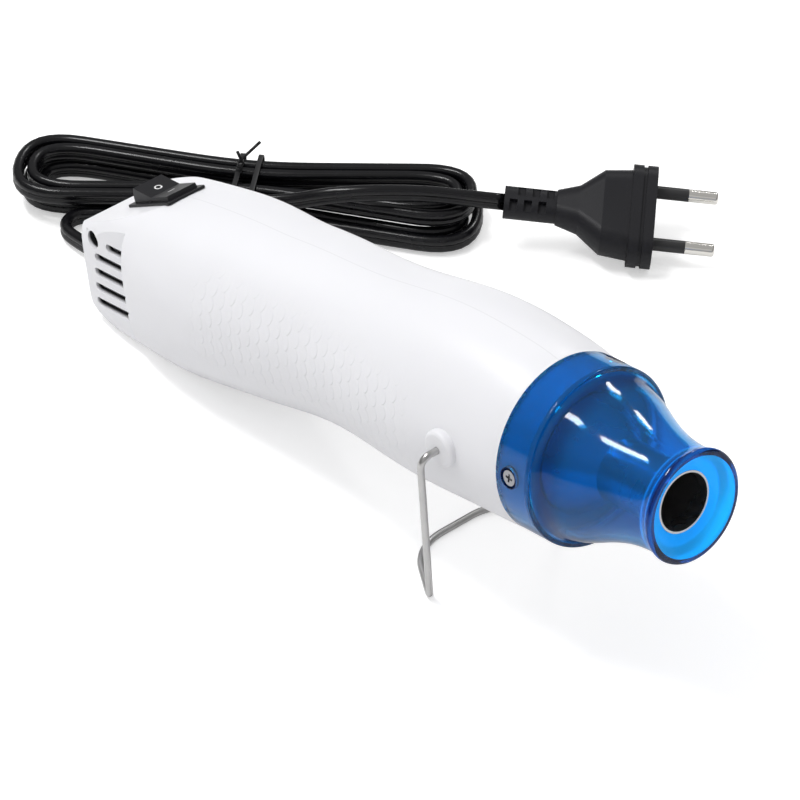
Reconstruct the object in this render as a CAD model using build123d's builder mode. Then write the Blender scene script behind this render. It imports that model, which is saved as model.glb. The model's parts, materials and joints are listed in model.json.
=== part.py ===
"""Embossing heat tool standing on its wire stand, with its tied cord behind it."""
import os
from math import atan2, cos, pi, radians, sin, tan

from build123d import *

os.makedirs("parts", exist_ok=True)

# Stance: the tool rests on its wire foot and its heel, nose up
tilt = 9.0
axis_height = 59.0
overrun = 4.0
slip = 0.15

# White body, measured back from the collar
body_length = 196.0
body_width = 26.0
body_top = 26.0
body_bottom = 26.0
body_wall = 2.2
ring_point_count = 32
# place along the body, half width, top, bottom, squareness
body_ring_shares = [
    (0.000, 1.010, 1.000, 1.010, 2.0),
    (0.060, 1.060, 1.085, 1.015, 2.0),
    (0.150, 1.085, 1.130, 1.022, 2.05),
    (0.250, 1.065, 1.090, 1.015, 2.1),
    (0.365, 0.985, 0.965, 0.965, 2.15),
    (0.480, 0.965, 0.910, 1.020, 2.2),
    (0.595, 0.990, 0.850, 1.145, 2.3),
    (0.700, 1.020, 0.810, 1.240, 2.4),
    (0.780, 0.990, 0.750, 1.275, 2.6),
    (0.850, 0.895, 0.660, 1.270, 3.0),
    (0.920, 0.765, 0.500, 1.200, 5.0),
    (0.980, 0.700, 0.320, 1.115, 6.5),
    (1.000, 0.675, 0.250, 1.050, 6.5),
]

# Tail: flat switch deck, flat vented cheeks, cord hole
deck_place = 174.0
deck_rise = 13.7
deck_slope = 22.0
cheek_length = 25.0
cheek_half_width = 18.6
vent_front = 170.0
vent_rear = 191.6
vent_top = 2.1
vent_pitch = 5.4
vent_height = 2.7
vent_slant = 1.0
# what each slot falls short of the full row, in front and behind
vent_trims = [(2.4, 9.2), (1.1, 2.7), (0.4, 1.4), (0.0, 0.7), (4.6, 0.0)]

# Spigot that carries the guard
spigot_length = 10.0
spigot_wall = 1.8

# Guard: collar band, trumpet shell, lip, funnel face
collar_radius = 26.3
collar_length = 12.5
guard_wall = 2.0
guard_length = 50.2
lip_radius = 16.7
lip_round = 1.1
funnel_radius = 14.8
rim_recess = 4.1
# place from the collar's front to the lip, radius against the collar
guard_ring_shares = [
    (0.000, 0.950),
    (0.050, 0.905),
    (0.132, 0.867),
    (0.225, 0.817),
    (0.330, 0.753),
    (0.448, 0.692),
    (0.560, 0.646),
    (0.674, 0.616),
    (0.775, 0.602),
    (0.857, 0.601),
    (0.925, 0.613),
]
guard_inner_ring_count = 10

# Guard screws
guard_screw_count = 3
guard_screw_place = 5.0
guard_screw_angle = 173.0
guard_screw_radius = 1.2
guard_head_radius = 2.3
guard_head_height = 1.0
guard_recess_radius = 3.0
guard_recess_depth = 1.3
guard_screw_length = 5.0
guard_drive_width = 2.6
screw_drive_width = 0.7
screw_drive_depth = 0.6

# Stepped nozzle can and what carries it
outlet_radius = 9.1
can_radius = 17.6
can_wall = 0.6
can_rear = 66.0
can_front = 10.0
outlet_start = 22.0
front_ring_place = 6.8
front_ring_thickness = 2.6

# Heater inside the can
mica_thickness = 0.8
mica_half_width = 12.0
mica_rear = 60.0
mica_front = 2.0
coil_radius = 13.0
coil_wire = 0.7
coil_pitch = 5.2
coil_turns = 9
coil_rear = 55.0
sleeve_lap = 2.0
sleeve_radius = 16.5
sleeve_wall = 0.6
disc_thickness = 1.4
disc_window_radius = 3.2
disc_window_circle = 10.0
disc_window_count = 6
thermostat_length = 8.0
thermostat_width = 5.0
thermostat_height = 3.0
fuse_radius = 1.5
fuse_length = 9.0
sensor_offset = 4.0

# Air duct, fan and motor
duct_radius = 20.2
duct_wall = 1.2
duct_front = 70.0
duct_rear = 104.0
duct_flange = 2.0
duct_lap = 12.0
duct_collar_wall = 1.2
plate_thickness = 3.0
plate_window_radius = 3.4
plate_window_circle = 15.2
plate_window_count = 9
rib_thickness = 2.0
motor_radius = 13.85
motor_length = 34.0
motor_wall = 0.9
motor_boss_radius = 3.2
motor_boss_length = 2.0
motor_cap_thickness = 3.0
motor_screw_radius = 1.3
motor_screw_head_radius = 2.4
motor_screw_head_height = 1.6
motor_screw_spacing = 16.0
motor_screw_reach = 5.0
running_gap = 0.04
shaft_radius = 1.15
shaft_nose = 12.0
magnet_thickness = 1.9
magnet_length = 22.0
magnet_gap = 8.8
armature_radius = 10.3
armature_length = 16.0
armature_slot_width = 1.6
armature_slot_depth = 4.5
armature_slot_count = 5
winding_radius = 8.2
winding_bore = 2.2
winding_length = 3.0
commutator_radius = 3.2
commutator_length = 5.0
commutator_gap = 0.3
brush_width = 2.0
brush_length = 4.0
brush_gap = 0.1
brush_post_width = 4.0
motor_cap_boss_radius = 4.0
motor_cap_boss_length = 2.0
shaft_tail = 2.0
hub_radius = 6.0
hub_length = 10.0
hub_gap = 2.4
blade_count = 7
blade_reach = 17.9
blade_chord = 9.0
blade_thickness = 1.1
blade_root_angle = 48.0
blade_tip_angle = 28.0

# Rectifier board behind the motor
board_radius = 12.5
board_thickness = 1.6
board_gap = 5.0
terminal_width = 2.6
terminal_thickness = 0.5
terminal_spacing = 17.0
diode_radius = 1.35
diode_length = 5.0
diode_spacing = 5.5
capacitor_width = 8.0
capacitor_depth = 4.0
capacitor_height = 6.0

# Rocker switch in the deck
bezel_length = 23.0
bezel_width = 14.0
bezel_height = 0.8
bezel_corner = 0.8
switch_length = 20.6
switch_width = 12.8
switch_depth = 12.0
switch_wall = 0.8
rocker_gap = 0.2
rocker_swing = 11.0
rocker_height = 2.0
rocker_depth = 3.2
rocker_room = 3.4
rocker_pin_radius = 0.9
rocker_pin_rise = 0.2
rocker_pin_length = 0.5
mark_depth = 0.25
mark_radius = 1.2
mark_width = 0.4
mark_offset = 3.3
tab_width = 4.8
tab_thickness = 0.8
tab_length = 7.0
tab_spacing = 9.0

# Tail screw
tail_screw_place = 189.0
tail_screw_rise = 2.0
tail_screw_radius = 1.3
tail_screw_length = 22.0
tail_head_radius = 2.4
tail_head_height = 1.8
tail_hole_radius = 2.8
tail_hole_depth = 4.4
tail_boss_wall = 3.0

# Wire stand
wire_radius = 1.05
pivot_place = 20.3
pivot_rise = 3.4
pivot_slip = 0.08
pivot_boss_radius = 5.6
pivot_boss_face = 29.6
pivot_boss_round = 1.2
pivot_depth = 6.0
leg_top_spread = 35.6
foot_spread = 26.5
foot_set_back = 6.0
bow_depth = 18.6
bow_half_width = 15.5
leg_bend = 3.0
foot_bend = 2.6

# Strain relief at the tail
relief_drop = 20.5
relief_reach = 19.0
relief_root_radius = 4.6
relief_end_radius = 3.8
relief_flange_radius = 6.4
relief_flange_thickness = 2.0
relief_groove_count = 6
relief_groove_width = 1.1
relief_groove_depth = 0.8
relief_groove_start = 2.4
relief_groove_pitch = 2.8

# Flat twin cord
cord_width = 5.6
cord_thickness = 3.4
arc_share = 0.45

# Hank: loops on edge in two layers, drawn in at the tie, the last run over the rest
hank_run_count = 9
hank_forward = 7.7
hank_side = 53.0
hank_turned = 41.0
hank_half_length = 72.5
lobe_half_width = 18.0
waist_half_width = 9.3
loop_gap = 0.95
waist_step = 4.15
waist_bend = 40.0
end_share = 0.49
hank_lift = 0.9
start_share = 0.406
hank_end_turn = 1.0
exit_rise = 8.4
exit_climb_start = 10.0
exit_climb_end = 31.0
exit_straight = 14.0
gap_sample = 1.5
gap_skip = 30.0

# Cord from the relief to the hank, its turn laid out in the hank's plane
lead_first_run = 8.0
lead_turn = (-54.2, -22.9)
lead_last_run = 8.0

# Twist tie
tie_thickness = 0.8
tie_width = 2.4
tie_room = 0.95
tie_slip = 0.05
tie_wrap_spacing = 5.0
tie_corner = 1.6
tie_knot_radius = 1.5
tie_knot_height = 3.0
tie_tail_radius = 0.6
tie_tail_length = 8.0
tie_tail_lean = 32.0

# Wires inside the tail
wire_lead_radius = 0.9
wire_lead_spread = 1.3

# Plug
plug_turned = 45.1
plug_pitch = 4.8
plug_roll = 25.0
plug_start = (80.2, -6.7, 15.6)
plug_lead_length = 12.0
plug_relief_length = 16.0
plug_relief_width = 10.4
plug_relief_height = 8.0
plug_pocket_count = 3
plug_pocket_pitch = 4.4
plug_pocket_start = 2.8
plug_pocket_width = 3.4
plug_pocket_length = 2.4
plug_pocket_depth = 1.6
plug_pocket_offset = 2.4
plug_body_length = 22.5
plug_flange_width = 34.0
plug_flange_height = 13.7
plug_flange_length = 7.5
plug_groove_width = 1.2
plug_groove_depth = 0.6
# place along the body, width, height
plug_ring_shares = [(0.0, 0.33, 0.66), (0.3, 0.46, 0.78), (0.62, 0.82, 0.92), (1.0, 0.88, 0.94)]
pin_spacing = 18.0
pin_radius = 2.0
pin_core_radius = 1.4
pin_length = 19.0
pin_sleeve_length = 10.0
pin_seat = 8.0
pin_round = 0.8

# Planes of the tilted tool
lean = radians(tilt)
nose_reach = guard_length * cos(lean) + lip_radius * sin(lean)
tail_reach = (body_length + relief_reach) * cos(lean) + (relief_end_radius - relief_drop) * sin(lean)
collar_x = (tail_reach - nose_reach) / 2
tool = Plane(
    origin=(collar_x, 0, axis_height),
    x_dir=(cos(lean), 0, sin(lean)),
    z_dir=(-sin(lean), 0, cos(lean)),
)
tool_axis = Axis(tool.origin, tool.x_dir)


def across(place):
    """Plane square to the tool, at a place in front of the collar's rear edge."""
    return Plane(origin=tool.from_local_coords((place, 0, 0)), x_dir=(0, 1, 0), z_dir=tool.x_dir)


def lengthwise(side=0):
    """Upright plane along the tool, seen from the right-hand side."""
    return Plane(origin=tool.from_local_coords((0, side, 0)), x_dir=tool.x_dir, z_dir=(0, -1, 0))


def ring_points(shares, inset):
    place, half_width, top, bottom, squareness = shares
    reach = body_width * half_width - inset
    highest = body_top * top - inset
    lowest = inset - body_bottom * bottom
    points = []
    for step in range(ring_point_count):
        turn = 2 * pi * step / ring_point_count
        side = abs(cos(turn)) ** (2 / squareness) * (1 if cos(turn) >= 0 else -1)
        rise = abs(sin(turn)) ** (2 / squareness) * (1 if sin(turn) >= 0 else -1)
        points.append((reach * side, (highest + lowest) / 2 + (highest - lowest) / 2 * rise))
    return points


def tube_path(points, share=arc_share):
    """Straight runs joined by arcs as large as the runs allow."""
    points = [Vector(point) for point in points]
    radii = []
    for before, corner, after in zip(points, points[1:], points[2:]):
        shorter = min((corner - before).length, (after - corner).length)
        half_turn = radians((corner - before).get_angle(after - corner)) / 2
        radii.append(share * shorter / tan(half_turn))
    return points, radii


# Body: skin, cavity with its ribs and bosses, then the openings
with BuildPart() as skin:
    for shares in body_ring_shares:
        with BuildSketch(across(-body_length * shares[0])):
            with BuildLine():
                Spline(*ring_points(shares, 0), periodic=True)
            make_face()
    loft()

deck = Plane(
    origin=tool.from_local_coords((-deck_place, 0, deck_rise)),
    x_dir=tool.x_dir * cos(radians(deck_slope)) + tool.z_dir * sin(radians(deck_slope)),
    z_dir=tool.z_dir * cos(radians(deck_slope)) - tool.x_dir * sin(radians(deck_slope)),
)
cheek_front = body_length - cheek_length
duct_bore = duct_radius + slip
plate_rear = duct_rear + plate_thickness
motor_rear = plate_rear + motor_length
inner_spigot = collar_radius - guard_wall - slip - spigot_wall
tail_boss_radius = tail_screw_radius + tail_boss_wall
pivot = tool.from_local_coords((-pivot_place, 0, pivot_rise))
relief_wall_inside = body_length - body_wall

with BuildPart() as cavity:
    for shares in body_ring_shares[:-1]:
        with BuildSketch(across(-(body_length - body_wall) * shares[0] / body_ring_shares[-2][0])):
            with BuildLine():
                Spline(*ring_points(shares, body_wall), periodic=True)
            make_face()
    loft()
    with BuildSketch(deck.offset(-body_wall)):
        Rectangle(body_length / 2, 2 * body_width)
    extrude(amount=body_top, mode=Mode.SUBTRACT)
    for side in (1, -1):
        with BuildSketch(lengthwise(side * (cheek_half_width - body_wall))):
            with Locations((-body_length, 0)):
                Rectangle(2 * (cheek_length + body_wall), 4 * body_bottom)
        extrude(amount=-side * body_width, mode=Mode.SUBTRACT)
    # Ribs that hold the duct and the motor plate
    for rib_front, rib_bore in [
        (duct_front - duct_flange - rib_thickness, can_radius + slip + duct_collar_wall + slip),
        (duct_front + duct_lap, duct_bore),
        (duct_rear - rib_thickness, duct_bore),
        (plate_rear, duct_radius - rib_thickness),
    ]:
        with BuildSketch(across(-rib_front)):
            Circle(2 * body_width)
            Circle(rib_bore, mode=Mode.SUBTRACT)
        extrude(amount=-rib_thickness, mode=Mode.SUBTRACT)
    # Post for the tail screw and the inner ends of the stand's bosses
    with BuildSketch(lengthwise()):
        with Locations((-tail_screw_place, tail_screw_rise)):
            Circle(tail_boss_radius)
    extrude(amount=body_width, both=True, mode=Mode.SUBTRACT)
    for side in (1, -1):
        with BuildSketch(lengthwise(side * (pivot_boss_face - pivot_depth - body_wall))):
            with Locations((-pivot_place, pivot_rise)):
                Circle(wire_radius + body_wall)
        extrude(amount=-side * body_width, mode=Mode.SUBTRACT)

with BuildPart() as housing:
    add(skin.part)
    with BuildSketch(deck):
        Rectangle(body_length / 2, 2 * body_width)
    extrude(amount=body_top, mode=Mode.SUBTRACT)
    for side in (1, -1):
        with BuildSketch(lengthwise(side * cheek_half_width)):
            with Locations((-body_length, 0)):
                Rectangle(2 * cheek_length, 4 * body_bottom)
        extrude(amount=-side * body_width, mode=Mode.SUBTRACT)
    # Round bosses that carry the wire
    with BuildSketch(lengthwise()):
        with Locations((-pivot_place, pivot_rise)):
            Circle(pivot_boss_radius)
    extrude(amount=pivot_boss_face, both=True)
    for side in (1, -1):
        boss_rim = faces().filter_by(Axis.Y).sort_by(Axis.Y)[-1 if side > 0 else 0].edges()
        fillet(boss_rim, pivot_boss_round)
    add(cavity.part, mode=Mode.SUBTRACT)
    # Spigot inside the collar
    with BuildSketch(across(0)):
        Circle(inner_spigot + spigot_wall)
        Circle(inner_spigot, mode=Mode.SUBTRACT)
    extrude(amount=spigot_length)
    with BuildSketch(across(0)):
        Circle(collar_radius)
        Circle(inner_spigot, mode=Mode.SUBTRACT)
    extrude(amount=-body_wall)
    # Heel trimmed flat where it meets the surface
    with BuildSketch(Plane.XY):
        Rectangle(4 * body_length, 4 * body_width)
    extrude(amount=-body_bottom, mode=Mode.SUBTRACT)
    # Switch opening
    with BuildSketch(deck.offset(overrun)):
        Rectangle(switch_length + 2 * slip, switch_width + 2 * slip)
    extrude(amount=-switch_depth - overrun, mode=Mode.SUBTRACT)
    # Vents in both cheeks
    for row, (front_trim, rear_trim) in enumerate(vent_trims):
        slot_front = vent_front + front_trim
        slot_rear = vent_rear - rear_trim
        with BuildSketch(lengthwise()):
            with Locations((-(slot_front + slot_rear) / 2, vent_top - row * vent_pitch)):
                SlotOverall(slot_rear - slot_front, vent_height, rotation=vent_slant)
        extrude(amount=body_width, both=True, mode=Mode.SUBTRACT)
    # Tail screw: recess and clearance on the right, pilot on the left
    with BuildSketch(lengthwise(-cheek_half_width - overrun)):
        with Locations((-tail_screw_place, tail_screw_rise)):
            Circle(tail_hole_radius)
    extrude(amount=-overrun - tail_hole_depth, mode=Mode.SUBTRACT)
    with BuildSketch(lengthwise(-cheek_half_width)):
        with Locations((-tail_screw_place, tail_screw_rise)):
            Circle(tail_screw_radius + slip)
    extrude(amount=-tail_hole_depth - tail_screw_length - overrun, mode=Mode.SUBTRACT)
    # Wire holes
    for side in (1, -1):
        with BuildSketch(lengthwise(side * (pivot_boss_face + overrun))):
            with Locations((-pivot_place, pivot_rise)):
                Circle(wire_radius + pivot_slip)
        extrude(amount=side * (pivot_depth + overrun + wire_radius), mode=Mode.SUBTRACT)
    # Cord hole
    with BuildSketch(across(-relief_wall_inside)):
        with Locations((0, -relief_drop)):
            Circle(relief_root_radius + slip)
    extrude(amount=-body_wall - overrun, mode=Mode.SUBTRACT)
    with BuildSketch(across(-relief_wall_inside)):
        with Locations((0, -relief_drop)):
            Circle(relief_flange_radius + slip)
    extrude(amount=relief_flange_thickness, mode=Mode.SUBTRACT)
    # Holes for the guard screws
    for number in range(guard_screw_count):
        angle = radians(guard_screw_angle + number * 360 / guard_screw_count)
        outward = Vector(0, 1, 0) * cos(angle) + tool.z_dir * sin(angle)
        with BuildSketch(Plane(origin=tool.from_local_coords((guard_screw_place, 0, 0)), z_dir=outward)):
            Circle(guard_screw_radius + slip)
        extrude(amount=collar_radius, mode=Mode.SUBTRACT)

with BuildPart() as right_shell:
    add(housing.part)
    split(bisect_by=Plane.XZ, keep=Keep.TOP)
right_shell.part.label = "right_shell"
export_step(right_shell.part, "parts/right_shell.step")

with BuildPart() as left_shell:
    add(housing.part)
    split(bisect_by=Plane.XZ, keep=Keep.BOTTOM)
left_shell.part.label = "left_shell"
export_step(left_shell.part, "parts/left_shell.step")

print("heel", housing.part.bounding_box().min.Z, "body volume", housing.part.volume)

# Guard: one turned shell of clear plastic
guard_run = guard_length - collar_length
rim_place = guard_length - rim_recess
collar_bore = collar_radius - guard_wall
guard_rings = [(collar_length + run * guard_run, share * collar_radius) for run, share in guard_ring_shares]
outer_line = guard_rings + [(guard_length - lip_round, lip_radius)]
inner_line = [(place, radius - guard_wall) for place, radius in guard_rings[:guard_inner_ring_count]]

screw_middle = tool.from_local_coords((guard_screw_place, 0, 0))
screw_seats = []
for number in range(guard_screw_count):
    angle = radians(guard_screw_angle + number * 360 / guard_screw_count)
    outward = Vector(0, 1, 0) * cos(angle) + tool.z_dir * sin(angle)
    under_head = screw_middle + outward * (collar_radius - guard_recess_depth)
    screw_seats.append(Plane(origin=under_head, z_dir=outward))

with BuildPart() as nozzle_guard:
    with BuildSketch(lengthwise()):
        with BuildLine():
            Polyline((0, collar_bore), (0, collar_radius), (collar_length, collar_radius), guard_rings[0])
            Spline(*outer_line)
            RadiusArc(outer_line[-1], (guard_length, lip_radius - lip_round), lip_round)
            Polyline(
                (guard_length, lip_radius - lip_round),
                (guard_length, funnel_radius),
                (rim_place, outlet_radius + slip),
                (rim_place - guard_wall, outlet_radius + slip),
                inner_line[-1],
            )
            Spline(*inner_line)
            Polyline(inner_line[0], (spigot_length + slip, collar_bore), (0, collar_bore))
        make_face()
    revolve(axis=tool_axis)
    rims = edges().filter_by(GeomType.CIRCLE).filter_by(lambda edge: abs(edge.radius - collar_radius) < slip)
    fillet(rims.sort_by(tool_axis)[-1], guard_wall / 3)
    for seat in screw_seats:
        with BuildSketch(seat):
            Circle(guard_recess_radius)
        extrude(amount=overrun, mode=Mode.SUBTRACT)
        with BuildSketch(seat):
            Circle(guard_screw_radius + slip)
        extrude(amount=-guard_wall, mode=Mode.SUBTRACT)
nozzle_guard.part.label = "nozzle_guard"
export_step(nozzle_guard.part, "parts/nozzle_guard.step")

with BuildPart() as guard_screws:
    for seat in screw_seats:
        with BuildSketch(seat):
            Circle(guard_head_radius)
        extrude(amount=guard_head_height)
        with BuildSketch(seat):
            Circle(guard_screw_radius)
        extrude(amount=-guard_screw_length)
        with BuildSketch(seat.offset(guard_head_height)):
            Rectangle(guard_drive_width, screw_drive_width)
            Rectangle(screw_drive_width, guard_drive_width)
        extrude(amount=-screw_drive_depth, mode=Mode.SUBTRACT)
guard_screws.part.label = "guard_screws"
export_step(guard_screws.part, "parts/guard_screws.step")

# Stepped steel can, open at both ends
step_half_angle = atan2(can_radius - outlet_radius, outlet_start - can_front) / 2
step_shift = can_wall * tan(step_half_angle)
with BuildPart() as nozzle_can:
    with BuildSketch(lengthwise()):
        with BuildLine():
            Polyline(
                (-can_rear, can_radius),
                (can_front, can_radius),
                (outlet_start, outlet_radius),
                (rim_place, outlet_radius),
                (rim_place, outlet_radius - can_wall),
                (outlet_start - step_shift, outlet_radius - can_wall),
                (can_front - step_shift, can_radius - can_wall),
                (-can_rear, can_radius - can_wall),
                close=True,
            )
        make_face()
    revolve(axis=tool_axis)
nozzle_can.part.label = "nozzle_can"
export_step(nozzle_can.part, "parts/nozzle_can.step")

with BuildPart() as front_ring:
    with BuildSketch(across(front_ring_place)):
        Circle(inner_spigot - slip)
        Circle(can_radius + slip, mode=Mode.SUBTRACT)
    extrude(amount=front_ring_thickness)
front_ring.part.label = "front_ring"
export_step(front_ring.part, "parts/front_ring.step")

# Heater: crossed mica plates, a wound element, a sleeve and the rear disc
with BuildPart() as mica_cross:
    with BuildSketch(across(-mica_rear)):
        Rectangle(2 * mica_half_width, mica_thickness)
        Rectangle(mica_thickness, 2 * mica_half_width)
    extrude(amount=mica_rear + mica_front)
mica_cross.part.label = "mica_cross"
export_step(mica_cross.part, "parts/mica_cross.step")

coil_plane = across(-coil_rear)
with BuildPart() as heater_coil:
    with BuildLine():
        for half in range(2 * coil_turns):
            side = 1 if half % 2 == 0 else -1
            start = Vector(side * coil_radius, 0, half * coil_pitch / 2)
            end = Vector(-side * coil_radius, 0, (half + 1) * coil_pitch / 2)
            crest = (start + end) / 2 + Vector(0, side * (end - start).length / 2, 0)
            ThreePointArc(*[coil_plane.from_local_coords(point) for point in (start, crest, end)])
    with BuildSketch(Plane(origin=coil_plane.from_local_coords((coil_radius, 0, 0)), z_dir=coil_plane.y_dir)):
        Circle(coil_wire)
    sweep()
heater_coil.part.label = "heater_coil"
export_step(heater_coil.part, "parts/heater_coil.step")

with BuildPart() as mica_sleeve:
    with BuildSketch(across(-mica_rear)):
        Circle(sleeve_radius)
        Circle(sleeve_radius - sleeve_wall, mode=Mode.SUBTRACT)
    extrude(amount=mica_rear + mica_front + sleeve_lap)
mica_sleeve.part.label = "mica_sleeve"
export_step(mica_sleeve.part, "parts/mica_sleeve.step")

disc_rear = mica_rear + disc_thickness
with BuildPart() as mica_disc:
    with BuildSketch(across(-disc_rear)):
        Circle(sleeve_radius)
        with PolarLocations(disc_window_circle, disc_window_count, start_angle=180 / disc_window_count):
            Circle(disc_window_radius, mode=Mode.SUBTRACT)
    extrude(amount=disc_thickness)
mica_disc.part.label = "mica_disc"
export_step(mica_disc.part, "parts/mica_disc.step")

with BuildPart() as thermostat:
    with BuildSketch(across(-disc_rear)):
        with Locations((0, sensor_offset)):
            Rectangle(thermostat_length, thermostat_width)
    extrude(amount=-thermostat_height)
thermostat.part.label = "thermostat"
export_step(thermostat.part, "parts/thermostat.step")

with BuildPart() as thermal_fuse:
    with BuildSketch(lengthwise(fuse_length / 2)):
        with Locations((-disc_rear - fuse_radius - running_gap, -sensor_offset)):
            Circle(fuse_radius)
    extrude(amount=fuse_length)
thermal_fuse.part.label = "thermal_fuse"
export_step(thermal_fuse.part, "parts/thermal_fuse.step")

# Air duct from the fan to the can
duct_inside = duct_radius - duct_wall
lap_bore = can_radius + slip
lap_radius = lap_bore + duct_collar_wall
with BuildPart() as air_duct:
    with BuildSketch(lengthwise()):
        with BuildLine():
            Polyline(
                (-duct_rear, duct_inside),
                (-duct_rear, duct_radius),
                (-duct_front + duct_flange, duct_radius),
                (-duct_front + duct_flange, lap_radius),
                (-duct_front + duct_lap, lap_radius),
                (-duct_front + duct_lap, lap_bore),
                (-duct_front, lap_bore),
                (-duct_front, duct_inside),
                close=True,
            )
        make_face()
    revolve(axis=tool_axis)
air_duct.part.label = "air_duct"
export_step(air_duct.part, "parts/air_duct.step")

# Plate that carries the motor, with air windows round it
with BuildPart() as motor_plate:
    with BuildSketch(across(-plate_rear)):
        Circle(duct_radius)
        Circle(motor_boss_radius + slip, mode=Mode.SUBTRACT)
        with GridLocations(motor_screw_spacing, 0, 2, 1):
            Circle(motor_screw_radius + slip, mode=Mode.SUBTRACT)
        with PolarLocations(plate_window_circle, plate_window_count):
            Circle(plate_window_radius, mode=Mode.SUBTRACT)
    extrude(amount=plate_thickness)
motor_plate.part.label = "motor_plate"
export_step(motor_plate.part, "parts/motor_plate.step")

with BuildPart() as motor_screws:
    with BuildSketch(across(-duct_rear)):
        with GridLocations(motor_screw_spacing, 0, 2, 1):
            Circle(motor_screw_head_radius)
    extrude(amount=motor_screw_head_height)
    with BuildSketch(across(-duct_rear)):
        with GridLocations(motor_screw_spacing, 0, 2, 1):
            Circle(motor_screw_radius)
    extrude(amount=-motor_screw_reach)
motor_screws.part.label = "motor_screws"
export_step(motor_screws.part, "parts/motor_screws.step")

# Motor: can, magnets, rear cap, turning parts
motor_bore = motor_radius - motor_wall
shaft_hole = shaft_radius + running_gap
with BuildPart() as motor_can:
    with BuildSketch(across(-motor_rear)):
        Circle(motor_radius)
    extrude(amount=motor_length)
    with BuildSketch(across(-plate_rear)):
        Circle(motor_boss_radius)
    extrude(amount=motor_boss_length)
    with BuildSketch(across(-motor_rear)):
        Circle(motor_bore)
    extrude(amount=motor_length - motor_wall, mode=Mode.SUBTRACT)
    with BuildSketch(across(-motor_rear)):
        Circle(shaft_hole)
        with GridLocations(motor_screw_spacing, 0, 2, 1):
            Circle(motor_screw_radius + slip)
    extrude(amount=motor_length + motor_boss_length + overrun, mode=Mode.SUBTRACT)
motor_can.part.label = "motor_can"
export_step(motor_can.part, "parts/motor_can.step")

motor_middle = plate_rear + motor_length / 2
with BuildPart() as motor_magnets:
    with BuildSketch(across(-motor_middle)):
        Circle(motor_bore - running_gap)
        Circle(motor_bore - running_gap - magnet_thickness, mode=Mode.SUBTRACT)
        Rectangle(magnet_gap, 2 * motor_radius, mode=Mode.SUBTRACT)
    extrude(amount=magnet_length / 2, both=True)
motor_magnets.part.label = "motor_magnets"
export_step(motor_magnets.part, "parts/motor_magnets.step")

commutator_front = motor_middle + armature_length / 2 + winding_length + commutator_gap
commutator_middle = commutator_front + commutator_length / 2
brush_outside = commutator_radius + brush_gap + brush_length
with BuildPart() as motor_cap:
    with BuildSketch(across(-motor_rear)):
        Circle(motor_radius)
    extrude(amount=-motor_cap_thickness)
    with BuildSketch(across(-motor_rear - motor_cap_thickness)):
        Circle(motor_cap_boss_radius)
    extrude(amount=-motor_cap_boss_length)
    for side in (1, -1):
        with BuildSketch(across(-motor_rear)):
            with Locations((side * (brush_outside + brush_width / 2), 0)):
                Rectangle(brush_width, brush_post_width)
        extrude(amount=motor_rear - commutator_middle + brush_width / 2)
    with BuildSketch(across(-motor_rear)):
        Circle(shaft_hole)
    extrude(amount=-shaft_tail - running_gap, mode=Mode.SUBTRACT)
motor_cap.part.label = "motor_cap"
export_step(motor_cap.part, "parts/motor_cap.step")

with BuildPart() as motor_brushes:
    for side in (1, -1):
        with BuildSketch(across(-commutator_middle - brush_width / 2)):
            with Locations((side * (brush_outside - brush_length / 2), 0)):
                Rectangle(brush_length, brush_width)
        extrude(amount=brush_width)
motor_brushes.part.label = "motor_brushes"
export_step(motor_brushes.part, "parts/motor_brushes.step")

shaft_front = duct_rear - shaft_nose
with BuildPart() as motor_shaft:
    with BuildSketch(across(-motor_rear - shaft_tail)):
        Circle(shaft_radius)
    extrude(amount=motor_rear + shaft_tail - shaft_front)
motor_shaft.part.label = "motor_shaft"
export_step(motor_shaft.part, "parts/motor_shaft.step")

with BuildPart() as armature:
    with BuildSketch(across(-motor_middle)):
        Circle(armature_radius)
        with PolarLocations(armature_radius - armature_slot_depth / 2, armature_slot_count):
            Rectangle(armature_slot_depth + running_gap, armature_slot_width, mode=Mode.SUBTRACT)
        Circle(shaft_hole, mode=Mode.SUBTRACT)
    extrude(amount=armature_length / 2, both=True)
armature.part.label = "armature"
export_step(armature.part, "parts/armature.step")

with BuildPart() as armature_winding:
    for side in (1, -1):
        with BuildSketch(across(-motor_middle + side * armature_length / 2)):
            Circle(winding_radius)
            Circle(winding_bore, mode=Mode.SUBTRACT)
        extrude(amount=side * winding_length)
armature_winding.part.label = "armature_winding"
export_step(armature_winding.part, "parts/armature_winding.step")

with BuildPart() as commutator:
    with BuildSketch(across(-commutator_front)):
        Circle(commutator_radius)
        Circle(shaft_hole, mode=Mode.SUBTRACT)
    extrude(amount=-commutator_length)
commutator.part.label = "commutator"
export_step(commutator.part, "parts/commutator.step")

# Fan: hub with pitched blades
hub_rear = duct_rear - hub_gap
with BuildPart() as blade:
    with BuildSketch(Plane.YZ.offset(hub_radius - blade_thickness)):
        Rectangle(blade_chord, blade_thickness, rotation=blade_root_angle)
    with BuildSketch(Plane.YZ.offset(blade_reach)):
        Rectangle(blade_chord, blade_thickness, rotation=blade_tip_angle)
    loft(ruled=True)

with BuildPart(across(hub_length / 2 - hub_rear)) as impeller:
    Cylinder(hub_radius, hub_length)
    with PolarLocations(0, blade_count):
        add(blade.part)
    with BuildSketch(across(-hub_rear)):
        Circle(shaft_hole)
    extrude(amount=shaft_nose - hub_gap + running_gap, mode=Mode.SUBTRACT)
impeller.part.label = "impeller"
export_step(impeller.part, "parts/impeller.step")

# Rectifier board on the motor's terminals
board_front = motor_rear + motor_cap_thickness + board_gap
board_rear = board_front + board_thickness
with BuildPart() as motor_terminals:
    with BuildSketch(across(-board_front)):
        with GridLocations(0, terminal_spacing, 1, 2):
            Rectangle(terminal_width, terminal_thickness)
    extrude(amount=board_gap)
motor_terminals.part.label = "motor_terminals"
export_step(motor_terminals.part, "parts/motor_terminals.step")

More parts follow.
